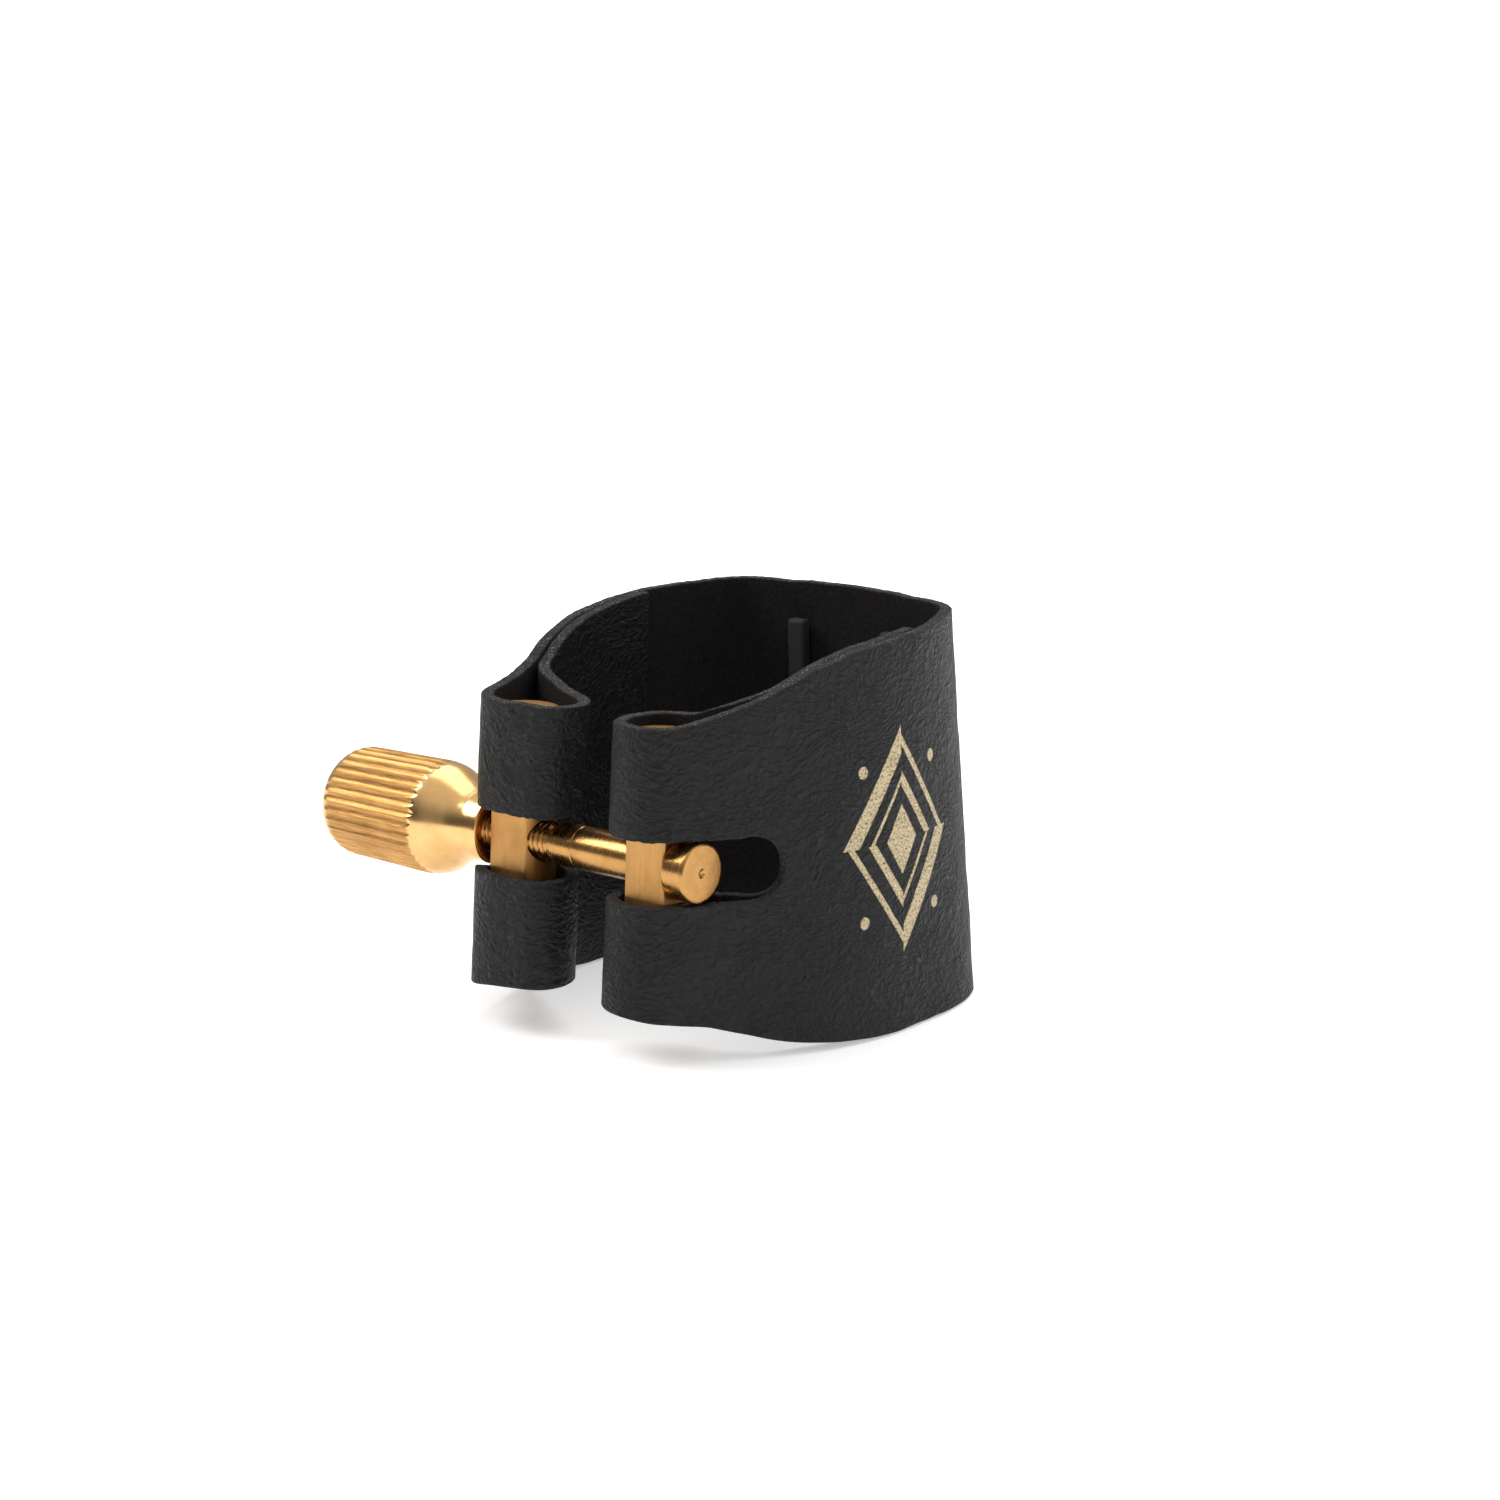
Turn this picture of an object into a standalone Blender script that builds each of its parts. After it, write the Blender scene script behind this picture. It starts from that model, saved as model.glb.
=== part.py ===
# Leather saxophone ligature with one draw screw, for an alto mouthpiece.
# A folded leather strap wraps the mouthpiece. Each end is folded round a brass
# pin and bonded back inside itself, and a slot splits each fold into an upper
# and a lower loop. A headed rod is fixed in the right pin, passes through the
# left pin and screws into a knurled thumb nut that bears on the left pin.
# Frame: origin on the mouthpiece axis at the height of the rod, +Z towards the
# mouthpiece tip, -Y towards the screw side, +Y towards the reed, +X along the
# rod from the thumb nut to the rod's head.
import math

import bmesh
import bpy
from mathutils import Matrix, Vector

MM = 0.001

# ---- driving dimensions, millimetres ----
LEATHER = 0.92            # thickness of one ply
PLY_GAP = 0.08            # clear gap between the two bonded plies
JOINT_GAP = 0.15          # half the gap between strap sections at a flex line
CONE = 0.00256            # the band narrows by this much per mm of height
CORNER_CONE = 0.0034      # extra narrowing of the two reed-side corners

PIN_R = 2.45
PIN_LEFT_X = -7.68
PIN_RIGHT_X = 5.82
PIN_Y = -15.6
PIN_TOP = 9.8
PIN_BOTTOM = -10.0
PIN_LEAN = 0.04           # the pins lean with the band, mm of Y per mm of Z
PIN_FLAT = 1.76           # distance of the milled front flat from the pin's axis
PIN_FLAT_H = 2.9          # half height of the flat
HOLE_LEFT_R = 1.64
HOLE_RIGHT_R = 1.66
SEAT_X = 7.7              # the head's seat, milled into the right pin

THREAD_R = 1.48           # M3
SHANK_R = 1.625
HEAD_R = 2.2
SHOULDER_X = -3.85        # where the thread meets the smooth shank
HEAD_X = 7.75
HEAD_END_X = 9.9
ROD_END_X = -17.0
DIMPLE_R = 0.32

NUT_FACE_X = -10.3
NUT_BORE_R = 1.56
NUT_BORE_END_X = -20.4
NUT_NECK_R = 2.65
NUT_HEAD_R = 4.32
NUT_KNURL_X = -16.25      # where the knurl runs out
NUT_DOME_X = -24.0
NUT_END_X = -26.8
KNURL_RIDGES = 36
KNURL_DEPTH = 0.16

SLOT_HALF = 2.38          # half height of the slot in each fold
RELIEF_HALF = 2.9         # half height of the left slot where the nut's neck sits
FLEX_LEFT_X = -10.05
FLEX_RIGHT_X = 7.75

STRIP_X = 4.6
STRIP_W = 1.6
STRIP_T = 1.0
STRIP_TOP = 13.0
STRIP_BOTTOM = -12.0

# Plan of the strap's outer side at the height of the rod, from the middle of
# the reed side round one flank to the fold: x away from the middle, and y.
FLANK = [(0.0, 15.2), (4.0, 14.95), (8.0, 14.3), (10.6, 13.6), (12.1, 12.6), (13.1, 11.0),
         (14.2, 8.3), (15.05, 4.6), (15.4, 1.0), (15.3, -2.5), (14.6, -6.2)]
RIGHT_FOLD = [(13.2, -9.9), (11.4, -13.2), (9.5, -16.4), (8.0, -18.3), (6.1, -19.12),
              (4.3, -18.98), (3.0, -18.15), (2.4, -16.8), (2.3, -15.1), (2.8, -13.5),
              (4.2, -12.35), (6.1, -11.9), (8.2, -11.7)]
LEFT_FOLD = [(13.5, -9.8), (12.3, -13.0), (11.4, -15.8), (10.7, -17.5), (9.45, -18.68),
             (7.5, -19.17), (5.6, -19.2), (3.75, -19.0), (2.6, -18.2), (2.15, -16.9),
             (2.4, -15.5), (3.3, -14.2), (5.1, -12.9), (7.2, -11.7), (9.1, -10.65), (10.5, -9.95)]
RIGHT_MERGE_Y = -10.6     # the tail lies against the flank from here on
LEFT_MERGE_Y = -9.7
TAIL_END_Y = 4.4

# Rim heights against the bearing from the screw side, degrees.
RIM_RIGHT = [(0, 10.5), (27, 10.6), (35, 11.4), (41, 12.0), (47, 12.6), (53, 13.3), (60, 14.0),
             (67, 14.55), (74, 15.0), (81, 15.2), (94, 15.5), (106, 15.6), (135, 15.9), (180, 16.0)]
RIM_LEFT = [(0, 10.6), (30, 10.75), (36, 10.9), (43, 11.15), (49, 11.4), (54, 11.8), (60, 12.8),
            (67, 13.55), (74, 14.0), (81, 14.4), (94, 14.9), (110, 15.4), (135, 15.8), (180, 16.0)]
FOOT = [(0, -10.4), (12, -10.45), (20, -10.7), (26, -11.0), (30, -11.2), (35, -11.45), (41, -12.0),
        (47, -12.6), (53, -13.05), (60, -13.4), (67, -13.65), (74, -13.8), (81, -14.0), (180, -14.1)]

for item in list(bpy.data.objects):
    bpy.data.objects.remove(item, do_unlink=True)

scene = bpy.context.scene
parts = bpy.data.collections.new("saxophone_ligature")
cutters = bpy.data.collections.new("cutters")
scene.collection.children.link(parts)
scene.collection.children.link(cutters)
cutters.hide_render = True


# ---- helpers ----
def material(name, colour, roughness, metallic=0.0):
    made = bpy.data.materials.new(name)
    made.use_nodes = True
    shader = made.node_tree.nodes["Principled BSDF"]
    shader.inputs["Base Color"].default_value = (*colour, 1.0)
    shader.inputs["Roughness"].default_value = roughness
    shader.inputs["Metallic"].default_value = metallic
    made.diffuse_color = (*colour, 1.0)
    return made


LEATHER_MAT = {name: material(name, (0.018, 0.018, 0.019), 0.55) for name in ("leather_back", "leather_left", "leather_right")}
RUBBER_MAT = {name: material(name, (0.03, 0.03, 0.03), 0.8) for name in ("rubber_left", "rubber_right")}
BRASS_MAT = {name: material(name, (0.80, 0.55, 0.23), 0.25, 1.0) for name in ("brass_left_pin", "brass_right_pin", "brass_rod", "brass_nut")}


def link(obj, collection, mat=None):
    for old in list(obj.users_collection):
        old.objects.unlink(obj)
    collection.objects.link(obj)
    if mat is not None:
        obj.data.materials.clear()
        obj.data.materials.append(mat)
    return obj


def mesh_object(name, bm, collection, mat=None):
    mesh = bpy.data.meshes.new(name)
    bm.to_mesh(mesh)
    bm.free()
    obj = bpy.data.objects.new(name, mesh)
    collection.objects.link(obj)
    if mat is not None:
        mesh.materials.append(mat)
    return obj


def cut(obj, cutter, name):
    cutter.hide_render = True
    cutter.display_type = "WIRE"
    mod = obj.modifiers.new(name, "BOOLEAN")
    mod.operation = "DIFFERENCE"
    mod.solver = "EXACT"
    mod.object = cutter


def step(value, low, high):
    t = min(max((value - low) / (high - low), 0.0), 1.0)
    return t * t * (3.0 - 2.0 * t)


def table(rows, value):
    for (a, fa), (b, fb) in zip(rows, rows[1:]):
        if value <= b:
            return fa + (fb - fa) * max(value - a, 0.0) / (b - a)
    return rows[-1][1]


def spline(points, pieces):
    """Centripetal Catmull-Rom curve through the plan points."""
    pts = [Vector(p) for p in points]
    out = []
    for i in range(len(pts) - 1):
        p1, p2 = pts[i], pts[i + 1]
        p0 = pts[i - 1] if i else 2 * p1 - p2
        p3 = pts[i + 2] if i + 2 < len(pts) else 2 * p2 - p1
        t1 = math.sqrt((p1 - p0).length)
        t2 = t1 + math.sqrt((p2 - p1).length)
        t3 = t2 + math.sqrt((p3 - p2).length)
        for k in range(pieces):
            t = t1 + (t2 - t1) * k / pieces
            a1 = p0 * ((t1 - t) / t1) + p1 * (t / t1)
            a2 = p1 * ((t2 - t) / (t2 - t1)) + p2 * ((t - t1) / (t2 - t1))
            a3 = p2 * ((t3 - t) / (t3 - t2)) + p3 * ((t - t2) / (t3 - t2))
            b1 = a1 * ((t2 - t) / t2) + a2 * (t / t2)
            b2 = a2 * ((t3 - t) / (t3 - t1)) + a3 * ((t - t1) / (t3 - t1))
            out.append(b1 * ((t2 - t) / (t2 - t1)) + b2 * ((t - t1) / (t2 - t1)))
    out.append(pts[-1])
    return out


def normals(points):
    """Unit normals of a plan line, to the right of its direction of travel."""
    out = []
    for i in range(len(points)):
        along = points[min(i + 1, len(points) - 1)] - points[max(i - 1, 0)]
        out.append(Vector((along.y, -along.x)).normalized())
    return out


def crossing(points, y):
    """Index of the first point at which a line that starts on the reed side falls below y."""
    return next(i for i, p in enumerate(points) if p.y < y)


def strap_line(fold, merge_y, spacing):
    """Plan of one half's outer side: flank, fold and the tail bonded back inside it."""
    outer = spline(FLANK + fold, 5)
    inward = normals(outer)
    merge = crossing(outer, merge_y)
    end = crossing(outer, TAIL_END_Y)
    depth = 2 * LEATHER + PLY_GAP
    tail = [outer[i] + inward[i] * depth for i in range(merge, end - 1, -1)]
    line = outer + tail
    kept = [line[0]]
    for p in line[1:]:
        if (p - kept[-1]).length > spacing * 0.45:
            kept.append(p)
    return kept


def lean(x, y, z):
    """Place a plan point at height z on the cone of the band."""
    body = step(y, -14.0, -6.0)
    narrow = CONE + CORNER_CONE * step(y, 2.0, 12.0)
    return Vector((x * (1 - narrow * z * body) + 0.012 * z * (1 - body), y * (1 - CONE * z), z))


def bearing(x, y):
    return abs(math.degrees(math.atan2(x, -y)))


def strap_section(name, line, side, mat, rows=3):
    """An open surface between the foot and the rim along a plan line, given the leather's thickness."""
    bm = bmesh.new()
    grid = []
    for p in line:
        x, y = p.x * side, p.y
        top = table(RIM_RIGHT if x > 0 else RIM_LEFT, bearing(x, y))
        foot = table(FOOT, bearing(x, y))
        grid.append([bm.verts.new(lean(x, y, foot + (top - foot) * k / (rows - 1)) * MM) for k in range(rows)])
    for a, b in zip(grid, grid[1:]):
        for k in range(rows - 1):
            quad = (a[k], a[k + 1], b[k + 1], b[k])
            bm.faces.new(quad if side > 0 else quad[::-1])
    obj = mesh_object(name, bm, parts, mat)
    mod = obj.modifiers.new("thickness", "SOLIDIFY")
    mod.thickness = LEATHER * MM
    mod.offset = -1.0
    mod.use_even_offset = False
    return obj


def trimmed(line, x):
    """The part of a half strap line beyond the flex line at x, starting exactly on it."""
    first = next(i for i, p in enumerate(line) if p.x > x)
    a, b = line[first - 1], line[first]
    return [a + (b - a) * ((x - a.x) / (b.x - a.x))] + line[first:]


def slot_prism(name, outline, side, half):
    """A level prism over the fold."""
    bm = bmesh.new()
    low = [bm.verts.new(Vector((x * side, y, -half)) * MM) for x, y in outline]
    face = bm.faces.new(low)
    up = bmesh.ops.extrude_face_region(bm, geom=[face])
    bmesh.ops.translate(bm, vec=Vector((0, 0, 2 * half)) * MM, verts=[v for v in up["geom"] if isinstance(v, bmesh.types.BMVert)])
    bmesh.ops.recalc_face_normals(bm, faces=bm.faces)
    return mesh_object(name, bm, cutters)


def slot_bar(name, side, centre, direction, half):
    """A round bar across the strap that ends the slot."""
    bm = bmesh.new()
    turn = Vector((direction[0] * side, direction[1], 0)).to_track_quat("Z", "Y").to_matrix().to_4x4()
    bmesh.ops.create_cone(bm, cap_ends=True, segments=24, radius1=half * MM, radius2=half * MM, depth=9 * MM,
                          matrix=Matrix.Translation(Vector((centre[0] * side, centre[1], 0)) * MM) @ turn)
    return mesh_object(name, bm, cutters)


# ---- leather strap, in three sections that meet at the flex lines ----
right_line = strap_line(RIGHT_FOLD, RIGHT_MERGE_Y, 1.1)
left_line = strap_line(LEFT_FOLD, LEFT_MERGE_Y, 1.1)

half = spline(FLANK[:5], 6)
back_left = [Vector((-p.x, p.y)) for p in half if p.x < -FLEX_LEFT_X - JOINT_GAP]
back_right = [p for p in half if p.x < FLEX_RIGHT_X - JOINT_GAP]


def at_x(line, x):
    i = next(k for k, p in enumerate(line) if p.x > x)
    a, b = line[i - 1], line[i]
    return a + (b - a) * ((x - a.x) / (b.x - a.x))


edge_right = at_x(half, FLEX_RIGHT_X - JOINT_GAP)
edge_left = at_x(half, -FLEX_LEFT_X - JOINT_GAP)
back_line = [Vector((-edge_left.x, edge_left.y))] + back_left[::-1] + back_right[1:] + [edge_right]
band_back = strap_section("band_back", back_line, 1, LEATHER_MAT["leather_back"])

band_right = strap_section("band_right", trimmed(right_line, FLEX_RIGHT_X + JOINT_GAP), 1, LEATHER_MAT["leather_right"])
band_left = strap_section("band_left", trimmed(left_line, -FLEX_LEFT_X + JOINT_GAP), -1, LEATHER_MAT["leather_left"])

# The slots: their round ends lie on the flank, where both plies are bonded. The
# left one is taller where the thumb nut's neck passes through it.
right_cuts = [slot_prism("right_slot", [(12.3, -13.6), (10.0, -21.5), (0.0, -21.5), (0.0, -12.0), (4.0, -9.5), (9.2, -9.8)], 1, SLOT_HALF),
              slot_bar("right_slot_end", 1, (10.8, -11.6), (0.84, -0.54), SLOT_HALF)]
left_cuts = [slot_prism("left_slot", [(10.4, -15.0), (10.4, -21.5), (0.5, -21.5), (0.5, -13.0), (5.0, -9.0), (9.6, -9.6)], -1, SLOT_HALF),
             slot_prism("left_relief", [(13.9, -13.6), (13.9, -21.5), (10.1, -21.5), (10.1, -14.6), (9.0, -12.5), (10.2, -8.8)], -1, RELIEF_HALF),
             slot_bar("left_slot_end", -1, (11.9, -11.1), (0.84, -0.54), RELIEF_HALF)]
for obj, cuts in ((band_right, right_cuts), (band_left, left_cuts)):
    for cutter in cuts:
        cut(obj, cutter, cutter.name)


# ---- reed-side strips bonded inside the back ----
def reed_strip(name, x, mat):
    bm = bmesh.new()
    bmesh.ops.create_cube(bm, size=1.0)
    height = STRIP_TOP - STRIP_BOTTOM
    bmesh.ops.scale(bm, vec=Vector((STRIP_W, STRIP_T, height)) * MM, verts=bm.verts)
    obj = mesh_object(name, bm, parts, mat)
    wall = at_x(half, abs(x))
    face = wall.y - LEATHER - 0.22 - STRIP_T / 2
    mid = (STRIP_TOP + STRIP_BOTTOM) / 2
    slope = math.atan(CONE * wall.y)
    obj.location = Vector((x * (1 - CONE * mid), face - CONE * wall.y * mid, mid)) * MM
    obj.rotation_euler = (slope, 0, 0)
    bevel = obj.modifiers.new("edges", "BEVEL")
    bevel.width = 0.25 * MM
    bevel.segments = 2
    bevel.limit_method = "ANGLE"
    return obj


reed_strip("reed_strip_left", -STRIP_X, RUBBER_MAT["rubber_left"])
reed_strip("reed_strip_right", STRIP_X, RUBBER_MAT["rubber_right"])


# ---- pins ----
def pin(name, x, hole_r, mat, seat_x=None):
    length = PIN_TOP - PIN_BOTTOM
    mid = (PIN_TOP + PIN_BOTTOM) / 2
    tilt = -math.atan(PIN_LEAN)
    along = Vector((0, PIN_LEAN, 1)).normalized()
    bpy.ops.mesh.primitive_cylinder_add(vertices=40, radius=PIN_R * MM, depth=length * MM)
    obj = link(bpy.context.active_object, parts, mat)
    obj.name = name
    obj.data.name = name
    # The mesh is shifted along its own axis, so that the object's origin stays on the rod's axis.
    obj.data.transform(Matrix.Translation(Vector((0, 0, mid * MM))))
    obj.location = Vector((x, PIN_Y, 0)) * MM
    obj.rotation_euler = (tilt, 0, 0)
    bevel = obj.modifiers.new("ends", "BEVEL")
    bevel.width = 0.2 * MM
    bevel.segments = 1
    bevel.limit_method = "ANGLE"
    bevel.angle_limit = math.radians(50)
    bm = bmesh.new()
    bmesh.ops.create_cone(bm, cap_ends=True, segments=32, radius1=hole_r * MM, radius2=hole_r * MM, depth=8 * MM,
                          matrix=Matrix.Translation(Vector((x, PIN_Y, 0)) * MM) @ Matrix.Rotation(math.radians(90), 4, "Y"))
    hole = mesh_object(name + "_hole", bm, cutters)
    bm = bmesh.new()
    bmesh.ops.create_cube(bm, size=1.0)
    bmesh.ops.scale(bm, vec=Vector((6, 3, 2 * PIN_FLAT_H)) * MM, verts=bm.verts)
    flat = mesh_object(name + "_flat", bm, cutters)
    flat.location = Vector((x, PIN_Y - PIN_FLAT - 1.5, 0)) * MM
    flat.rotation_euler = (tilt, 0, 0)
    cut(obj, flat, "front_flat")
    cut(obj, hole, "cross_hole")
    if seat_x is not None:
        bm = bmesh.new()
        bmesh.ops.create_cube(bm, size=1.0)
        bmesh.ops.scale(bm, vec=Vector((3, 8, 5.0)) * MM, verts=bm.verts)
        seat = mesh_object(name + "_seat", bm, cutters)
        seat.location = Vector((seat_x + 1.5, PIN_Y, 0)) * MM
        cut(obj, seat, "head_seat")
    obj.data.shade_smooth()
    obj.data.set_sharp_from_angle(angle=math.radians(35))
    return obj


pin("left_post", PIN_LEFT_X, HOLE_LEFT_R, BRASS_MAT["brass_left_pin"])
pin("right_post", PIN_RIGHT_X, HOLE_RIGHT_R, BRASS_MAT["brass_right_pin"], SEAT_X)


# ---- turned pieces on the rod's axis: local Z is world X ----
def turned(name, profile, steps, mat, origin_x):
    """Profile points are (radius, x), from the +X end on the axis to the -X end on the axis."""
    bm = bmesh.new()
    verts = [bm.verts.new(Vector((r, 0, x - origin_x)) * MM) for r, x in profile]
    for a, b in zip(verts, verts[1:]):
        bm.edges.new((a, b))
    obj = mesh_object(name, bm, parts, mat)
    screw = obj.modifiers.new("turn", "SCREW")
    screw.axis = "Z"
    screw.angle = math.tau
    screw.steps = steps
    screw.render_steps = steps
    screw.use_merge_vertices = True
    screw.merge_threshold = 0.000002
    screw.use_smooth_shade = True
    obj.location = Vector((origin_x, PIN_Y, 0)) * MM
    obj.rotation_euler = (0, math.radians(90), 0)
    return obj


rod_profile = [(0, HEAD_END_X - 0.22), (DIMPLE_R, HEAD_END_X), (HEAD_R - 0.18, HEAD_END_X), (HEAD_R, HEAD_END_X - 0.18),
               (HEAD_R, HEAD_X + 0.1), (HEAD_R - 0.1, HEAD_X), (SHANK_R, HEAD_X), (SHANK_R, SHOULDER_X + 0.12),
               (THREAD_R, SHOULDER_X), (THREAD_R, ROD_END_X + 0.35), (THREAD_R - 0.35, ROD_END_X), (0, ROD_END_X)]
turned("draw_rod", rod_profile, 32, BRASS_MAT["brass_rod"], PIN_RIGHT_X)


def nut_radius(x):
    """Outer radius of the thumb nut: neck, flare and a nearly straight head."""
    flare = step(-x, 11.6, 16.6)
    return NUT_NECK_R + (NUT_HEAD_R - NUT_NECK_R) * flare


# The nut's outer side and its blind bore, spun about the rod's axis. Every other
# row of points along the head is set in by the knurl's depth.
bm = bmesh.new()
profile = [(0, NUT_BORE_END_X), (NUT_BORE_R, NUT_BORE_END_X + 0.6), (NUT_BORE_R, NUT_FACE_X - 0.3), (NUT_BORE_R + 0.3, NUT_FACE_X),
           (NUT_NECK_R - 0.15, NUT_FACE_X), (NUT_NECK_R, NUT_FACE_X - 0.15), (NUT_NECK_R, -11.6)]
profile += [(nut_radius(x), x) for x in (-12.6, -13.4, -14.1, -14.8, -15.5)]
profile += [(NUT_HEAD_R - 0.02, NUT_KNURL_X), (NUT_HEAD_R, NUT_KNURL_X - 0.35), (NUT_HEAD_R, NUT_DOME_X)]
for k in range(1, 6):
    turn = math.radians(90) * k / 6
    profile.append((NUT_HEAD_R * math.cos(turn) ** 0.9, NUT_DOME_X + (NUT_END_X - NUT_DOME_X) * math.sin(turn)))
profile.append((0, NUT_END_X))
line = [bm.verts.new(Vector((r, 0, x - NUT_FACE_X)) * MM) for r, x in profile]
edges = [bm.edges.new(pair) for pair in zip(line, line[1:])]
bmesh.ops.spin(bm, geom=line + edges, cent=(0, 0, 0), axis=(0, 0, 1), angle=math.tau, steps=2 * KNURL_RIDGES, use_merge=False)
bmesh.ops.remove_doubles(bm, verts=bm.verts, dist=0.000002)
for v in bm.verts:
    radius = math.hypot(v.co.x, v.co.y) / MM
    x = v.co.z / MM + NUT_FACE_X
    if x > NUT_KNURL_X - 0.1 or radius < 0.5:
        continue
    index = round(math.atan2(v.co.y, v.co.x) / math.tau * 2 * KNURL_RIDGES)
    if index % 2 and radius > NUT_BORE_R + 0.5:
        shrink = 1 - KNURL_DEPTH * min(1.0, (radius - 1.5) / 2) / radius
        v.co.x *= shrink
        v.co.y *= shrink
bmesh.ops.recalc_face_normals(bm, faces=bm.faces)
thumb_nut = mesh_object("thumb_nut", bm, parts, BRASS_MAT["brass_nut"])
thumb_nut.location = Vector((NUT_FACE_X, PIN_Y, 0)) * MM
thumb_nut.rotation_euler = (0, math.radians(90), 0)
thumb_nut.data.shade_smooth()
thumb_nut.data.set_sharp_from_angle(angle=math.radians(30))
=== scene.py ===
import math

import bmesh
import bpy
import numpy as np
from mathutils import Matrix, Vector


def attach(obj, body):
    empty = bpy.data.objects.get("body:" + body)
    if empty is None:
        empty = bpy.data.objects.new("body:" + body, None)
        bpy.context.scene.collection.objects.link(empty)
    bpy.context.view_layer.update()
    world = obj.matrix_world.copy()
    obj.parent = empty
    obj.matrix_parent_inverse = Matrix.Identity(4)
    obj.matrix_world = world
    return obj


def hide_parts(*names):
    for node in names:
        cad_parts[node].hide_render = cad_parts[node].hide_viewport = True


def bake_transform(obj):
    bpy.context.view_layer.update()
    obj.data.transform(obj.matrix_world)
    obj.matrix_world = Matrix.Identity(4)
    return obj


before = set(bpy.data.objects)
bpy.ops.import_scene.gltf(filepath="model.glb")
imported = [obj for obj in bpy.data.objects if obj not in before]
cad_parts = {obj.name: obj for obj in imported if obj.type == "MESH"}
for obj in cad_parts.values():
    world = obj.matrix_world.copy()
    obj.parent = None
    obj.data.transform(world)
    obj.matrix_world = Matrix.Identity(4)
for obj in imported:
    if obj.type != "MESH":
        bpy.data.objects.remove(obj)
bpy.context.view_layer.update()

MM = 0.001
scene = bpy.context.scene

# ---------------------------------------------------------------- sizes, millimetres
PLY = 0.98                # one ply of leather
GLUE = 0.035              # dark line between the two bonded plies
CONE = 0.00256
CORNER_CONE = 0.0034
PIN_R, PIN_Y, PIN_TOP, PIN_BOTTOM, PIN_LEAN = 2.45, -15.6, 9.8, -10.0, 0.04
PIN_FLAT, PIN_FLAT_H, SEAT_X = 1.76, 2.9, 7.7
PINS = {"left": (-7.68, 1.64), "right": (5.82, 1.66)}
SLOT_HALF = 2.38
NECK_CLEAR = 3.02         # the slot opens to this radius round the thumb nut's neck
RIM_ROUND, SLOT_ROUND = 0.17, 0.13

FLANK = [(0.0, 15.2), (4.0, 14.95), (8.0, 14.3), (10.6, 13.6), (12.1, 12.6), (13.1, 11.0),
         (14.2, 8.3), (15.05, 4.6), (15.4, 1.0), (15.3, -2.5), (14.6, -6.2)]
RIGHT_FOLD = [(13.2, -9.9), (11.4, -13.2), (9.5, -16.4), (8.03, -18.33), (6.1, -19.17),
              (4.3, -19.0), (3.0, -18.15), (2.4, -16.8), (2.27, -15.1), (2.78, -13.48),
              (4.2, -12.3), (6.1, -11.87), (8.2, -11.7)]
LEFT_FOLD = [(13.5, -9.8), (12.3, -13.0), (11.4, -15.8), (10.7, -17.5), (9.47, -18.7),
             (7.5, -19.2), (5.6, -19.2), (3.75, -19.0), (2.6, -18.2), (2.15, -16.9),
             (2.4, -15.5), (3.3, -14.2), (5.1, -12.9), (7.2, -11.7), (9.1, -10.65), (10.5, -9.95)]
RIGHT_MERGE_Y, LEFT_MERGE_Y, TAIL_END_Y = -10.6, -9.7, 4.4
RIM_RIGHT = [(0, 10.5), (27, 10.6), (35, 11.4), (41, 12.0), (47, 12.6), (53, 13.3), (60, 14.0),
             (67, 14.55), (74, 15.0), (81, 15.2), (94, 15.5), (106, 15.6), (135, 15.9), (180, 16.0)]
RIM_LEFT = [(0, 10.6), (30, 10.75), (36, 10.9), (43, 11.15), (49, 11.4), (54, 11.8), (60, 12.8),
            (67, 13.55), (74, 14.0), (81, 14.4), (94, 14.9), (110, 15.4), (135, 15.8), (180, 16.0)]
FOOT = [(0, -10.4), (12, -10.45), (20, -10.7), (26, -11.0), (30, -11.2), (35, -11.45), (41, -12.0),
        (47, -12.6), (53, -13.05), (60, -13.4), (67, -13.65), (74, -13.8), (81, -14.0), (180, -14.1)]


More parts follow.
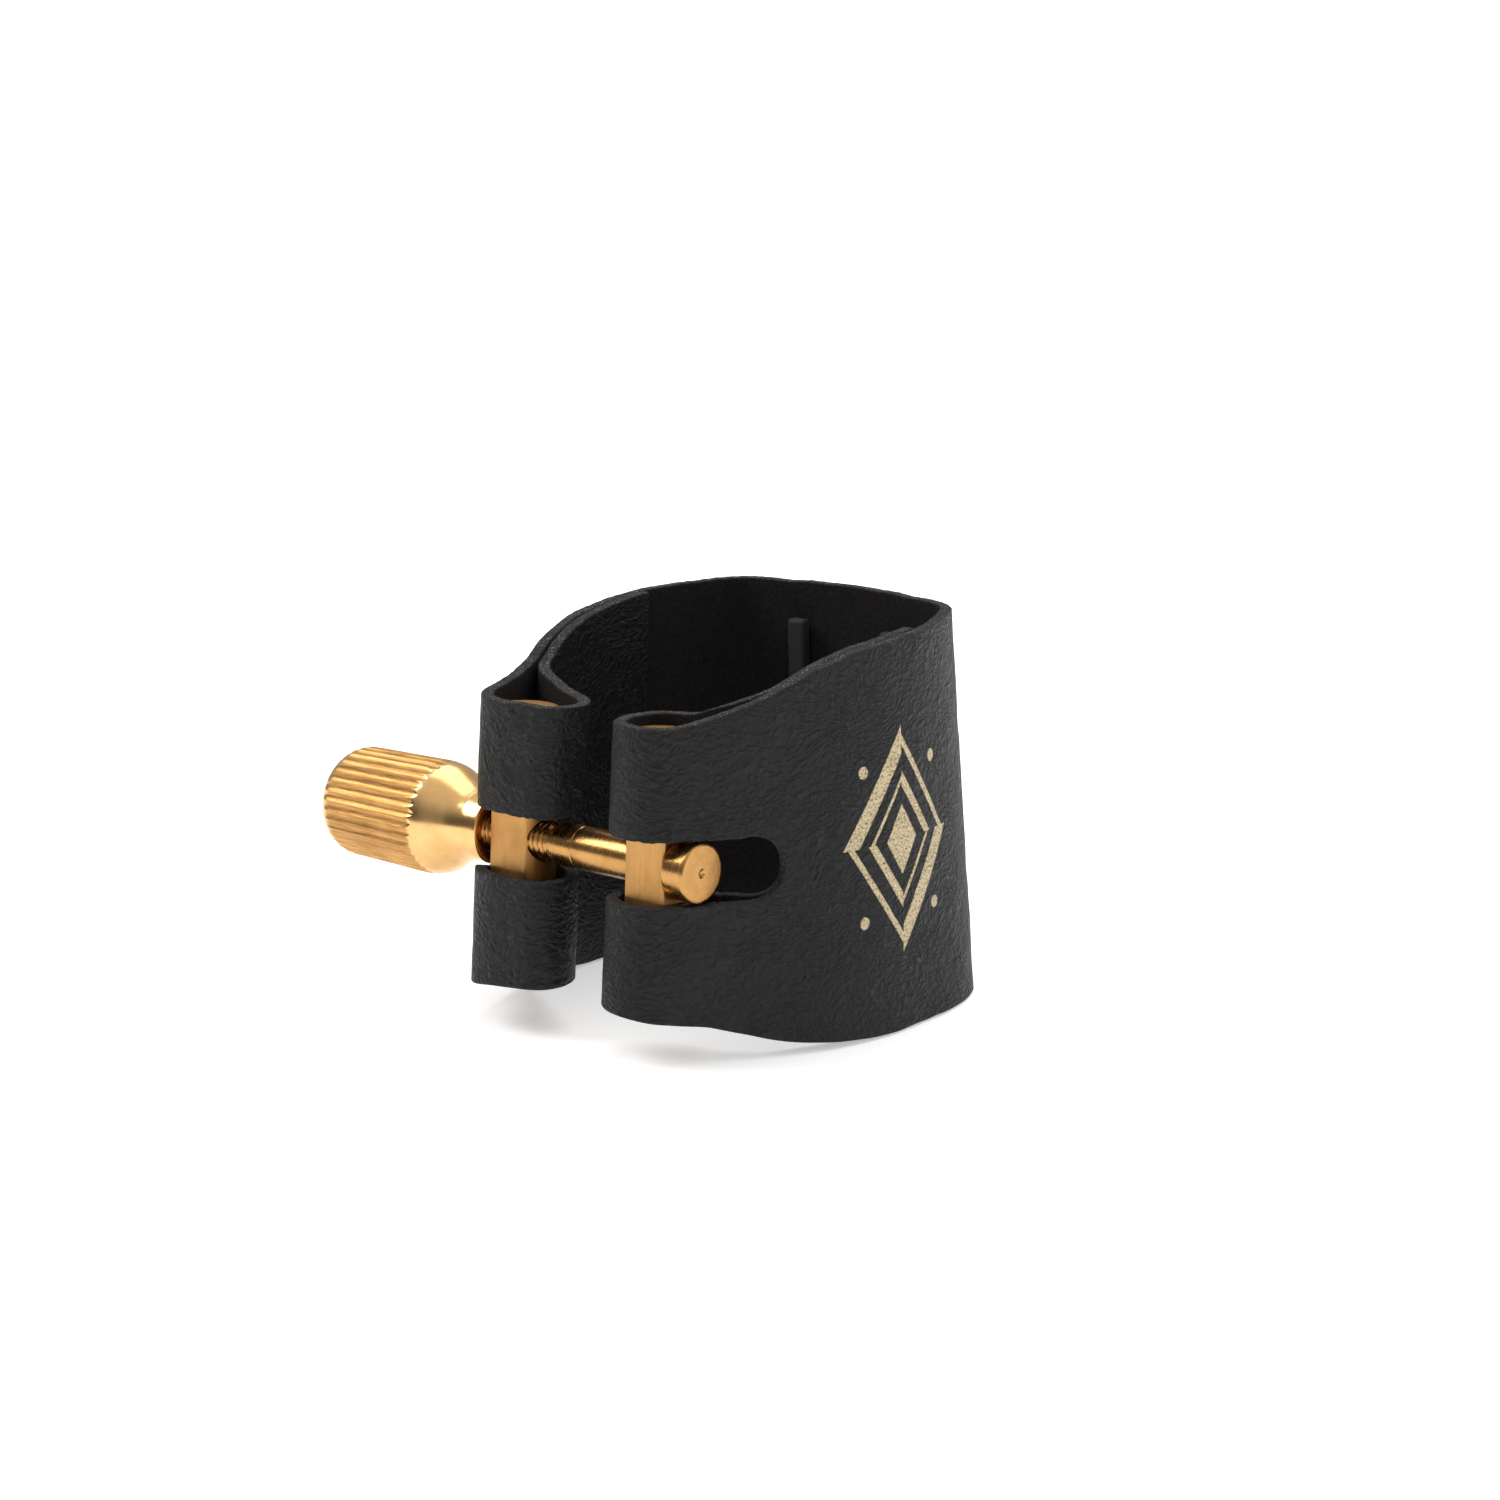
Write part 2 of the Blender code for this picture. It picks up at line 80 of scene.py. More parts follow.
# ---------------------------------------------------------------- node helpers
class Nodes:
    """Short names for wiring one material."""

    def __init__(self, name):
        self.mat = bpy.data.materials.new(name)
        self.mat.use_nodes = True
        self.tree = self.mat.node_tree
        self.shader = self.tree.nodes["Principled BSDF"]

    def new(self, kind, **settings):
        node = self.tree.nodes.new(kind)
        for key, value in settings.items():
            setattr(node, key, value)
        return node

    def put(self, socket, value):
        if isinstance(value, bpy.types.NodeSocket):
            self.tree.links.new(value, socket)
        elif value is not None:
            socket.default_value = value

    def maths(self, op, a, b=None, c=None, clamp=False):
        node = self.new("ShaderNodeMath", operation=op, use_clamp=clamp)
        for socket, value in zip(node.inputs, (a, b, c)):
            self.put(socket, value)
        return node.outputs[0]

    def vector(self, op, a, b=None, scale=None):
        node = self.new("ShaderNodeVectorMath", operation=op)
        self.put(node.inputs[0], a)
        if b is not None:
            self.put(node.inputs[1], b)
        if scale is not None:
            self.put(node.inputs["Scale"], scale)
        return node.outputs[0]

    def ramp(self, value, low, high, out_low=0.0, out_high=1.0, smooth=True):
        node = self.new("ShaderNodeMapRange", interpolation_type="SMOOTHSTEP" if smooth else "LINEAR", clamp=True) if not smooth \
            else self.new("ShaderNodeMapRange", interpolation_type="SMOOTHSTEP")
        self.put(node.inputs["Value"], value)
        for key, number in (("From Min", low), ("From Max", high), ("To Min", out_low), ("To Max", out_high)):
            self.put(node.inputs[key], number)
        return node.outputs["Result"]

    def mapping(self, vec, rotation=(0, 0, 0), scale=(1, 1, 1), location=(0, 0, 0)):
        node = self.new("ShaderNodeMapping")
        self.put(node.inputs["Vector"], vec)
        node.inputs["Rotation"].default_value = rotation
        node.inputs["Scale"].default_value = scale
        node.inputs["Location"].default_value = location
        return node.outputs[0]

    def noise(self, vec, scale, detail=3.0, rough=0.55, distortion=0.0):
        node = self.new("ShaderNodeTexNoise")
        self.put(node.inputs["Vector"], vec)
        node.inputs["Scale"].default_value = scale
        node.inputs["Detail"].default_value = detail
        node.inputs["Roughness"].default_value = rough
        node.inputs["Distortion"].default_value = distortion
        return node

    def cells(self, vec, scale, feature="DISTANCE_TO_EDGE", randomness=1.0):
        node = self.new("ShaderNodeTexVoronoi", feature=feature)
        self.put(node.inputs["Vector"], vec)
        node.inputs["Scale"].default_value = scale
        node.inputs["Randomness"].default_value = randomness
        return node.outputs["Distance"]

    def mix(self, factor, a, b):
        node = self.new("ShaderNodeMix", data_type="RGBA", blend_type="MIX")
        self.put(node.inputs[0], factor)
        self.put(node.inputs[6], (*a, 1.0) if isinstance(a, tuple) else a)
        self.put(node.inputs[7], (*b, 1.0) if isinstance(b, tuple) else b)
        return node.outputs[2]

    def mixf(self, factor, a, b):
        node = self.new("ShaderNodeMix", data_type="FLOAT")
        self.put(node.inputs[0], factor)
        self.put(node.inputs[2], a)
        self.put(node.inputs[3], b)
        return node.outputs[0]

    def bump(self, height, distance, strength=1.0, normal=None):
        node = self.new("ShaderNodeBump")
        self.put(node.inputs["Height"], height)
        node.inputs["Distance"].default_value = distance
        node.inputs["Strength"].default_value = strength
        if normal is not None:
            self.put(node.inputs["Normal"], normal)
        return node.outputs[0]

    def attribute(self, name, what="Fac"):
        return self.new("ShaderNodeAttribute", attribute_name=name).outputs[what]


# ---------------------------------------------------------------- materials
FOIL_S, FOIL_Z = 25.2, 0.5


def foil_mask(n, place):
    """A plain ornament of two nested lozenges, thick on one diagonal and thin on the other, with a small one inside and four dots."""
    split = n.new("ShaderNodeSeparateXYZ")
    n.put(split.inputs[0], place)
    u = n.maths("SUBTRACT", split.outputs[0], FOIL_S)
    v = n.maths("SUBTRACT", split.outputs[1], FOIL_Z)
    au, av = n.maths("ABSOLUTE", u), n.maths("ABSOLUTE", v)
    lean = n.maths("SIGN", n.maths("MULTIPLY", u, v))

    def lozenge(half_u, half_v, width, swing, soft=0.05):
        # distance to the outline, in millimetres
        size = 1.0 / math.hypot(1 / half_u, 1 / half_v)
        d = n.maths("MULTIPLY", n.maths("SUBTRACT", n.maths("ADD", n.maths("DIVIDE", au, half_u), n.maths("DIVIDE", av, half_v)), 1.0), size)
        w = n.maths("MULTIPLY_ADD", lean, swing, width)
        return n.ramp(n.maths("SUBTRACT", n.maths("ABSOLUTE", d), w), -soft, soft, 1.0, 0.0)

    def dot(cu, cv, r, soft=0.05):
        d = n.maths("SQRT", n.maths("ADD", n.maths("POWER", n.maths("SUBTRACT", au, cu), 2.0), n.maths("POWER", n.maths("SUBTRACT", av, cv), 2.0)))
        return n.ramp(d, r - soft, r + soft, 1.0, 0.0)

    parts = [lozenge(5.5, 7.5, 0.44, 0.20), lozenge(3.35, 4.6, 0.24, -0.10), lozenge(0.9, 1.35, 0.72, 0.0), dot(4.25, 5.6, 0.46)]
    mask = parts[0]
    for other in parts[1:]:
        mask = n.maths("MAXIMUM", mask, other)
    return mask


def leather():
    n = Nodes("black_leather")
    place = n.attribute("strap_place", "Vector")          # along the strap, height, depth, in millimetres
    edge = n.attribute("strap_edge")
    flesh = n.attribute("strap_flesh")
    fold = n.attribute("strap_fold")

    slow = n.noise(place, 0.16, 2.0, 0.5)
    turned = n.vector("ADD", place, n.vector("SCALE", n.vector("SUBTRACT", slow.outputs["Color"], (0.5, 0.5, 0.5)), scale=5.0))
    quick = n.noise(place, 1.3, 3.0, 0.6)
    warped = n.vector("ADD", turned, n.vector("SCALE", n.vector("SUBTRACT", quick.outputs["Color"], (0.5, 0.5, 0.5)), scale=0.5))

    # wrinkles run on a slant, one set crossed by a steeper or a flatter set that a slow noise chooses between; a net of
    # small cells lies between them
    def wrinkle(turn, along, across, at, sharp):
        value = n.noise(n.mapping(warped, rotation=(0, 0, turn), scale=(along, across, 1.0), location=at), 1.0, 2.0, 0.5).outputs["Fac"]
        ridge = n.maths("ABSOLUTE", n.maths("SUBTRACT", value, 0.5))
        return n.ramp(ridge, 0.0, sharp)

    first = wrinkle(-0.70, 0.50, 1.25, (0, 0, 0), 0.17)
    second = wrinkle(-0.15, 0.55, 1.45, (9, 4, 2), 0.15)
    third = wrinkle(-1.25, 0.6, 1.5, (2, 8, 5), 0.15)
    crease = n.maths("MULTIPLY", n.maths("MINIMUM", first, 1.0), n.mixf(n.ramp(slow.outputs["Fac"], 0.40, 0.62), second, third))
    grain = n.ramp(n.cells(n.mapping(warped, rotation=(0, 0, -0.5), scale=(1.25, 2.0, 1.0), location=(3, 7, 1)), 1.0), 0.0, 0.40)
    fine = n.noise(place, 7.0, 4.0, 0.65).outputs["Fac"]
    pores = n.ramp(n.noise(place, 3.4, 2.0, 0.5).outputs["Fac"], 0.30, 0.46)
    depth_of_crease = n.mixf(n.ramp(quick.outputs["Fac"], 0.35, 0.65), 0.55, 1.0)
    depth_of_crease = n.maths("MULTIPLY", depth_of_crease, n.ramp(fold, 0.0, 1.0, 1.0, 0.55))
    swell = n.noise(n.mapping(turned, rotation=(0, 0, -0.6), scale=(0.8, 1.5, 1.0)), 1.0, 1.0, 0.5).outputs["Fac"]
    relief = n.maths("ADD", n.maths("MULTIPLY", n.maths("SUBTRACT", crease, 1.0), depth_of_crease), n.maths("MULTIPLY", grain, 0.55))
    relief = n.maths("ADD", relief, n.maths("MULTIPLY", fine, 0.10))
    relief = n.maths("ADD", relief, n.maths("MULTIPLY", pores, 0.10))
    relief = n.maths("ADD", relief, n.maths("MULTIPLY", swell, 0.9))

    # cut edges and flesh side: matted fibres
    fibre = n.noise(n.vector("ADD", place, n.vector("SCALE", quick.outputs["Color"], scale=0.4)), 5.5, 5.0, 0.75).outputs["Fac"]
    specks = n.maths("MULTIPLY", n.ramp(n.noise(place, 7.5, 3.0, 0.7).outputs["Fac"], 0.53, 0.70), n.ramp(n.noise(place, 0.9, 2.0, 0.5).outputs["Fac"], 0.35, 0.60, 0.25, 1.0))
    rough_side = n.maths("MAXIMUM", edge, flesh)
    height = n.mixf(rough_side, relief, n.maths("MULTIPLY", fibre, 2.2))

    # outer skin: its colour is painted darker along the crease lines, a painted shade in the creases
    skin_with_painted_crease_shade = n.mix(crease, (0.0060, 0.0060, 0.0064), (0.0088, 0.0089, 0.0095))
    skin_with_painted_crease_shade = n.mix(n.ramp(fine, 0.50, 0.80, 0.0, 0.35), skin_with_painted_crease_shade, (0.018, 0.018, 0.019))
    edge_colour = n.mix(specks, n.mix(fibre, (0.010, 0.009, 0.0085), (0.062, 0.060, 0.058)), (0.42, 0.41, 0.40))
    flesh_colour = n.mix(n.ramp(fibre, 0.3, 0.7), (0.004, 0.0036, 0.0034), (0.024, 0.0205, 0.0185))
    body = n.mix(edge, n.mix(flesh, skin_with_painted_crease_shade, flesh_colour), edge_colour)

    # foil, pressed into the grain, broken at the creases and pores
    foil = foil_mask(n, n.vector("ADD", place, n.vector("SCALE", n.vector("SUBTRACT", n.noise(place, 2.6, 2.0, 0.5).outputs["Color"], (0.5, 0.5, 0.5)), scale=0.10)))
    worn = n.ramp(n.noise(place, 4.6, 4.0, 0.72).outputs["Fac"], 0.385, 0.47, 0.22, 1.0)
    worn = n.maths("MULTIPLY", worn, n.ramp(n.noise(n.mapping(place, rotation=(0, 0, -0.5), scale=(1.5, 2.6, 1.0)), 2.4, 2.0, 0.6).outputs["Fac"], 0.36, 0.45, 0.45, 1.0))
    foil = n.maths("MULTIPLY", foil, n.maths("SUBTRACT", 1.0, rough_side), clamp=True)
    shown = n.maths("MULTIPLY", foil, worn)
    foil_colour = n.mix(n.noise(place, 4.0, 3.0, 0.6).outputs["Fac"], (0.42, 0.31, 0.15), (0.74, 0.64, 0.43))
    body = n.mix(n.maths("MULTIPLY", foil, 0.8), body, (0.10, 0.055, 0.018))
    n.put(n.shader.inputs["Base Color"], n.mix(shown, body, foil_colour))
    n.put(n.shader.inputs["Metallic"], n.maths("MULTIPLY", shown, 0.30))

    rough = n.mixf(rough_side, n.ramp(relief, 0.0, 1.2, 0.55, 0.42), 0.92)
    n.put(n.shader.inputs["Roughness"], n.mixf(shown, rough, 0.42))
    n.shader.inputs["Specular IOR Level"].default_value = 0.24
    n.put(n.shader.inputs["Normal"], n.bump(height, 0.00014, 1.0))
    return n.mat


def rubber():
    n = Nodes("black_rubber")
    coords = n.new("ShaderNodeTexCoord").outputs["Object"]
    tooth = n.noise(coords, 9000.0, 3.0, 0.6).outputs["Fac"]
    flow = n.noise(n.mapping(coords, scale=(1.0, 1.0, 0.08)), 2500.0, 2.0, 0.5).outputs["Fac"]
    n.put(n.shader.inputs["Base Color"], n.mix(n.maths("MULTIPLY", tooth, flow), (0.010, 0.010, 0.010), (0.034, 0.033, 0.032)))
    n.put(n.shader.inputs["Roughness"], n.ramp(flow, 0.3, 0.7, 0.62, 0.82))
    n.put(n.shader.inputs["Normal"], n.bump(n.maths("ADD", tooth, flow), 0.00002, 0.6))
    return n.mat


def brass(name, rough, line_scale, line_strength, tarnish=0.5, radial=None, satin=0.0, clean=(0.53, 0.285, 0.095), dull=(0.37, 0.18, 0.052)):
    """Drawn or turned brass. line_scale stretches the tool marks; radial=(y, z) makes rings about that axis along X on faces that look along X."""
    n = Nodes(name)
    coords = n.new("ShaderNodeTexCoord").outputs["Object"]
    marks = n.noise(n.mapping(coords, scale=line_scale), 1000.0, 4.0, 0.65).outputs["Fac"]
    broad = n.noise(n.mapping(coords, scale=tuple(0.35 * v for v in line_scale)), 1000.0, 2.0, 0.5).outputs["Fac"]
    height = n.maths("ADD", n.maths("MULTIPLY", marks, 0.6), n.maths("MULTIPLY", broad, 0.6))
    if radial:
        split = n.new("ShaderNodeSeparateXYZ")
        n.put(split.inputs[0], coords)
        dy = n.maths("SUBTRACT", split.outputs[1], radial[0] * MM)
        dz = n.maths("SUBTRACT", split.outputs[2], radial[1] * MM)
        r = n.maths("SQRT", n.maths("ADD", n.maths("MULTIPLY", dy, dy), n.maths("MULTIPLY", dz, dz)))
        ring = n.new("ShaderNodeCombineXYZ")
        n.put(ring.inputs[0], r)
        rings = n.noise(n.mapping(ring.outputs[0], scale=(11.0, 1.0, 1.0)), 1000.0, 4.0, 0.7).outputs["Fac"]
        geometry = n.new("ShaderNodeNewGeometry")
        facing = n.new("ShaderNodeSeparateXYZ")
        n.put(facing.inputs[0], geometry.outputs["Normal"])
        face = n.ramp(n.maths("ABSOLUTE", facing.outputs[0]), 0.80, 0.95)
        height = n.mixf(face, height, n.maths("MULTIPLY", rings, 1.1))
    film = n.noise(coords, 420.0, 4.0, 0.6).outputs["Fac"]
    patch = n.noise(coords, 1700.0, 3.0, 0.65).outputs["Fac"]
    pits = n.ramp(n.cells(coords, 2600.0, "F1"), 0.05, 0.16)
    colour = n.mix(n.maths("MULTIPLY", n.ramp(film, 0.35, 0.72), tarnish), clean, dull)
    colour = n.mix(n.maths("MULTIPLY", n.ramp(patch, 0.50, 0.78), 0.35 * tarnish + 0.1), colour, (0.52, 0.30, 0.12))
    colour = n.mix(n.maths("MULTIPLY", n.maths("SUBTRACT", 1.0, pits), 0.35), colour, (0.22, 0.11, 0.035))
    n.put(n.shader.inputs["Base Color"], colour)
    n.shader.inputs["Metallic"].default_value = 1.0
    n.put(n.shader.inputs["Roughness"], n.maths("ADD", n.ramp(marks, 0.3, 0.7, rough - 0.05, rough + 0.07), n.maths("MULTIPLY", patch, satin)))
    n.put(n.shader.inputs["Normal"], n.bump(n.maths("ADD", height, n.maths("MULTIPLY", pits, 0.15)), 0.000010, line_strength))
    return n.mat


# ---------------------------------------------------------------- leather strap
def smooth(value, low, high):
    t = np.clip((np.asarray(value, float) - low) / (high - low), 0.0, 1.0)
    return t * t * (3.0 - 2.0 * t)


def table(rows, value):
    return np.interp(value, [a for a, _ in rows], [b for _, b in rows])


def rounded_table(rows, value):
    """The table's polyline with its corners eased."""
    return sum(w * table(rows, value + d) for d, w in ((-4, 0.1), (-2, 0.2), (0, 0.4), (2, 0.2), (4, 0.1)))


def spline(points, pieces=40):
    pts = np.array(points, float)
    out = []
    for i in range(len(pts) - 1):
        p1, p2 = pts[i], pts[i + 1]
        p0 = pts[i - 1] if i else 2 * p1 - p2
        p3 = pts[i + 2] if i + 2 < len(pts) else 2 * p2 - p1
        t1 = math.sqrt(np.linalg.norm(p1 - p0))
        t2 = t1 + math.sqrt(np.linalg.norm(p2 - p1))
        t3 = t2 + math.sqrt(np.linalg.norm(p3 - p2))
        for t in np.linspace(t1, t2, pieces, endpoint=False):
            a1 = p0 * ((t1 - t) / t1) + p1 * (t / t1)
            a2 = p1 * ((t2 - t) / (t2 - t1)) + p2 * ((t - t1) / (t2 - t1))
            a3 = p2 * ((t3 - t) / (t3 - t2)) + p3 * ((t - t2) / (t3 - t2))
            b1 = a1 * ((t2 - t) / t2) + a2 * (t / t2)
            b2 = a2 * ((t3 - t) / (t3 - t1)) + a3 * ((t - t1) / (t3 - t1))
            out.append(b1 * ((t2 - t) / (t2 - t1)) + b2 * ((t - t1) / (t2 - t1)))
    out.append(pts[-1])
    return np.array(out)


def lengths(line):
    return np.r_[0.0, np.cumsum(np.linalg.norm(np.diff(line, axis=0), axis=1))]


def inward(line):
    along = np.gradient(line, axis=0)
    along /= np.linalg.norm(along, axis=1)[:, None]
    return np.stack([along[:, 1], -along[:, 0]], 1)


def even(line, spacing):
    s = lengths(line)
    at = np.linspace(0, s[-1], int(round(s[-1] / spacing)) + 1)
    return np.stack([np.interp(at, s, line[:, 0]), np.interp(at, s, line[:, 1])], 1)


def eased(line, spacing, width):
    """Gaussian smoothing along the line; width is a number or one number per point."""
    reach = int(3.5 * np.max(width) / spacing)
    padded = np.concatenate([2 * line[:1] - line[reach:0:-1], line, 2 * line[-1:] - line[-2:-reach - 2:-1]])
    offsets = np.arange(-reach, reach + 1) * spacing
    width = np.broadcast_to(np.asarray(width, float), (len(line),))
    out = np.empty_like(line)
    for i in range(len(line)):
        k = np.exp(-0.5 * (offsets / width[i]) ** 2)
        out[i] = (padded[i:i + 2 * reach + 1] * (k / k.sum())[:, None]).sum(0)
    return out


def strap_plan(fold, merge_y):
    """Plan of one half's outer side: flank, fold and the tail bonded back inside, as points 0.05 mm apart."""
    outer = spline(FLANK + fold)
    side = inward(outer)
    merge = int(np.argmax(outer[:, 1] < merge_y))
    end = int(np.argmax(outer[:, 1] < TAIL_END_Y))
    tail = (outer[end:merge + 1] + side[end:merge + 1] * (2 * PLY + GLUE))[::-1]
    joint = lengths(outer)[-1]
    line = even(np.concatenate([outer, tail]), 0.05)
    s = lengths(line)
    width = 0.20 + 0.28 * np.exp(-((s - joint - 0.8) / 1.5) ** 2)
    line = eased(line, 0.05, width)
    return line, lengths(line), joint


WAVES = np.random.default_rng(11).uniform(-1, 1, (24, 4))


def ripple(s, z, size, first=0, count=8):
    """A smooth wandering value of about -1 to 1, whose waves are about size long."""
    total = 0.0
    for a, b, c, d in WAVES[first:first + count]:
        length = size * (1.0 + 0.45 * d)
        turn = math.pi * a
        total = total + np.sin((s * math.cos(turn) + z * math.sin(turn)) * 2 * math.pi / length + 6.28 * b + 3 * c)
    return total / math.sqrt(count) / 1.1


def strap_half(name, fold, merge_y, side, bar):
    line, s, joint = strap_plan(fold, merge_y)
    normal = inward(line)
    outer_part = s < joint - 3
    tail_part = s > joint

    def nearest(mask):
        d = np.hypot(line[:, 0] - bar[0], line[:, 1] - bar[1]) + np.where(mask, 0, 99)
        return s[int(np.argmin(d))]

    start_full, end_full = nearest(outer_part), nearest(tail_part)
    start_pinch, end_pinch = start_full - SLOT_HALF, end_full + SLOT_HALF
    turns = np.linspace(0, math.pi / 2, 16)
    stations = np.concatenate([
        np.linspace(0, start_pinch, int(start_pinch / 0.27))[:-1],
        start_full - SLOT_HALF * np.cos(turns),
        np.linspace(start_full, end_full, int((end_full - start_full) / 0.22))[1:-1],
        end_full + SLOT_HALF * np.sin(turns),
        np.linspace(end_pinch, s[-1], int((s[-1] - end_pinch) / 0.3))[1:]])
    count = len(stations)
    px = np.interp(stations, s, line[:, 0])
    py = np.interp(stations, s, line[:, 1])
    nx = np.interp(stations, s, normal[:, 0])
    ny = np.interp(stations, s, normal[:, 1])
    size = np.hypot(nx, ny)
    nx, ny = nx / size, ny / size

    # half height of the slot at each station
    half = np.full(count, 0.0)
    inside = (stations > start_pinch + 1e-6) & (stations < end_pinch - 1e-6)
    away = np.where(stations < start_full, start_full - stations, np.where(stations > end_full, stations - end_full, 0.0))
    half[inside] = np.sqrt(np.maximum(SLOT_HALF ** 2 - away[inside] ** 2, 0.0))
    full = inside & (away <= 0)
    ragged = 0.035 * ripple(stations * 1.0, 0 * stations, 0.7, 2, 6) + 0.03 * ripple(stations, 0 * stations, 2.6, 9, 5)
    ragged_low = 0.035 * ripple(stations * 1.0, 0 * stations + 3, 0.6, 6, 6) + 0.03 * ripple(stations, 0 * stations, 2.2, 14, 5)
    settle = smooth(half, 1.2, 2.3)
    high_edge, low_edge = half + ragged * settle, -(half + ragged_low * settle)
    if side < 0:
        round_neck = np.sqrt(np.maximum(NECK_CLEAR ** 2 - (py - PIN_Y) ** 2, 0.0)) * (px > 9.9) * full
        high_edge = np.maximum(high_edge, round_neck)
        low_edge = np.minimum(low_edge, -round_neck)

    bearing = np.abs(np.degrees(np.arctan2(px * side, -py)))
    top = rounded_table(RIM_RIGHT if side > 0 else RIM_LEFT, bearing) + 0.028 * ripple(stations, 0 * stations, 4.1, 4, 6) * smooth(stations, 0.5, 4) \
        + 0.02 * ripple(stations, 0 * stations, 0.6, 12, 5) * smooth(stations, 0.5, 4)
    foot = rounded_table(FOOT, bearing) + 0.022 * ripple(stations, 0 * stations + 9, 4.4, 8, 6) * smooth(stations, 0.5, 4)
    top, foot = np.minimum(top, 15.99), np.maximum(foot, -14.13)

    rows = 46
    arc = np.radians([22.5, 45.0, 67.5])
    m = 2 * rows + 18

    def section(low, high, low_round, high_round):
        """Depth, height and edge of a closed loop round the leather, for every station."""
        depth = np.zeros((count, m)); z = np.zeros((count, m)); edge = np.zeros((count, m))
        lz = np.minimum(low_round, 0.35 * np.abs(high - low)); hz = high_round
        k = np.arange(rows) / (rows - 1)
        z[:, :rows] = (low + lz)[:, None] + ((high - hz) - (low + lz))[:, None] * k
        rim = [(r * (1 - math.cos(a)), r * (1 - math.sin(a)), math.sin(a) ** 2) for a in arc for r in (1.0,)]
        flat = [(RIM_ROUND, 0.0, 1.0), (None, 0.0, 1.0), (-RIM_ROUND, 0.0, 1.0)]
        for j, (d, h, e) in enumerate(rim):
            depth[:, rows + j] = RIM_ROUND * d; z[:, rows + j] = high - hz * h; edge[:, rows + j] = e
            depth[:, rows + 8 - j] = PLY - RIM_ROUND * d; z[:, rows + 8 - j] = high - hz * h; edge[:, rows + 8 - j] = e
            depth[:, 2 * rows + 9 + j] = PLY - SLOT_ROUND * d; z[:, 2 * rows + 9 + j] = low + lz * h; edge[:, 2 * rows + 9 + j] = e
            depth[:, 2 * rows + 17 - j] = SLOT_ROUND * d; z[:, 2 * rows + 17 - j] = low + lz * h; edge[:, 2 * rows + 17 - j] = e
        for j, d in enumerate((RIM_ROUND, PLY / 2, PLY - RIM_ROUND)):
            depth[:, rows + 3 + j] = d; z[:, rows + 3 + j] = high; edge[:, rows + 3 + j] = 1
        for j, d in enumerate((PLY - SLOT_ROUND, PLY / 2, SLOT_ROUND)):
            depth[:, 2 * rows + 12 + j] = d; z[:, 2 * rows + 12 + j] = low; edge[:, 2 * rows + 12 + j] = 1
        depth[:, rows + 9:2 * rows + 9] = PLY
        z[:, rows + 9:2 * rows + 9] = z[:, rows - 1::-1] if rows else 0
        return depth, z, edge

    slot_round = np.minimum(SLOT_ROUND, 0.3 * np.abs(high_edge))
    rim_round = np.full(count, RIM_ROUND)
    upper = section(high_edge, top, slot_round, rim_round)
    lower = section(-low_edge, -foot, np.minimum(SLOT_ROUND, 0.3 * np.abs(low_edge)), rim_round)
    # the lower loop is the upper one's mirror, so its heights are negated
    lower = (lower[0], -lower[1], lower[2])

    def place(depth, z):
        x = px[:, None] + nx[:, None] * depth
        y = py[:, None] + ny[:, None] * depth
        ss = stations[:, None] + 0 * z
        wave = (0.022 * ripple(ss * side, z, 7.5, 0, 6) + 0.010 * ripple(ss * side, z, 2.7, 7, 7)) * smooth(ss, 0.3, 5)
        bonded = 1 - 0.75 * smooth(ss, joint - 0.5, joint + 2.5)
        wave = wave * bonded
        x = x - nx[:, None] * wave
        y = y - ny[:, None] * wave
        x = x * side
        body = smooth(y, -14.0, -6.0)
        narrow = CONE + CORNER_CONE * smooth(y, 2.0, 12.0)
        lx = x * (1 - narrow * z * body) + 0.012 * z * (1 - body)
        ly = y * (1 - CONE * z)
        if side < 0:
            # the left loop's inner end leans away at the top
            pull = smooth(x, -7.5, -3.2) * smooth(z, 3.0, 10.5) * smooth(-y, 9.0, 12.0)
            lx = lx + 0.33 * pull
            ly = ly + 0.38 * pull
        return np.stack([lx, ly, z], -1)

    verts, faces, data = [], [], []
    for which, (depth, z, edge) in (("up", upper), ("low", lower)):
        base = len(verts) * count * m
        pos = place(depth, z)
        verts.append(pos.reshape(-1, 3))
        # the walls of the slot are darker and smoother than the rims
        tone = edge.copy()
        tone[:, 2 * rows + 9:] *= 0.45
        flesh = np.clip(depth / PLY, 0, 1)
        fold_here = smooth(stations, start_full - 6, start_full + 1)[:, None] + 0 * z
        data.append(np.stack([(stations[:, None] * side + 0 * z), z, depth, tone, np.where(depth > PLY * 0.5, 1.0, 0.0) * flesh, fold_here], -1).reshape(-1, 6))
        index = base + np.arange(count * m).reshape(count, m)
        flip = (side > 0) == (which == "up")
        for i in range(count - 1):
            solid = half[i] <= 0 and half[i + 1] <= 0
            last = 2 * rows + 8 if solid else m
            for k in range(last):
                a, b = index[i, k], index[i, (k + 1) % m]
                c, d = index[i + 1, (k + 1) % m], index[i + 1, k]
                faces.append((a, b, c, d) if flip else (d, c, b, a))
        for i, back in ((0, False), (count - 1, True)):
            for k in range(rows - 1):
                quad = (index[i, k], index[i, k + 1], index[i, 2 * rows + 7 - k], index[i, 2 * rows + 8 - k])
                faces.append(quad if flip == back else quad[::-1])
            ring = tuple(index[i, k] for k in range(rows - 1, rows + 10))
            faces.append(ring if flip == back else ring[::-1])
    verts = np.concatenate(verts)
    data = np.concatenate(data)
    faces = [tuple(int(v) for v in f) for f in faces]

    used = np.zeros(len(verts), bool)
    for f in faces:
        used[list(f)] = True
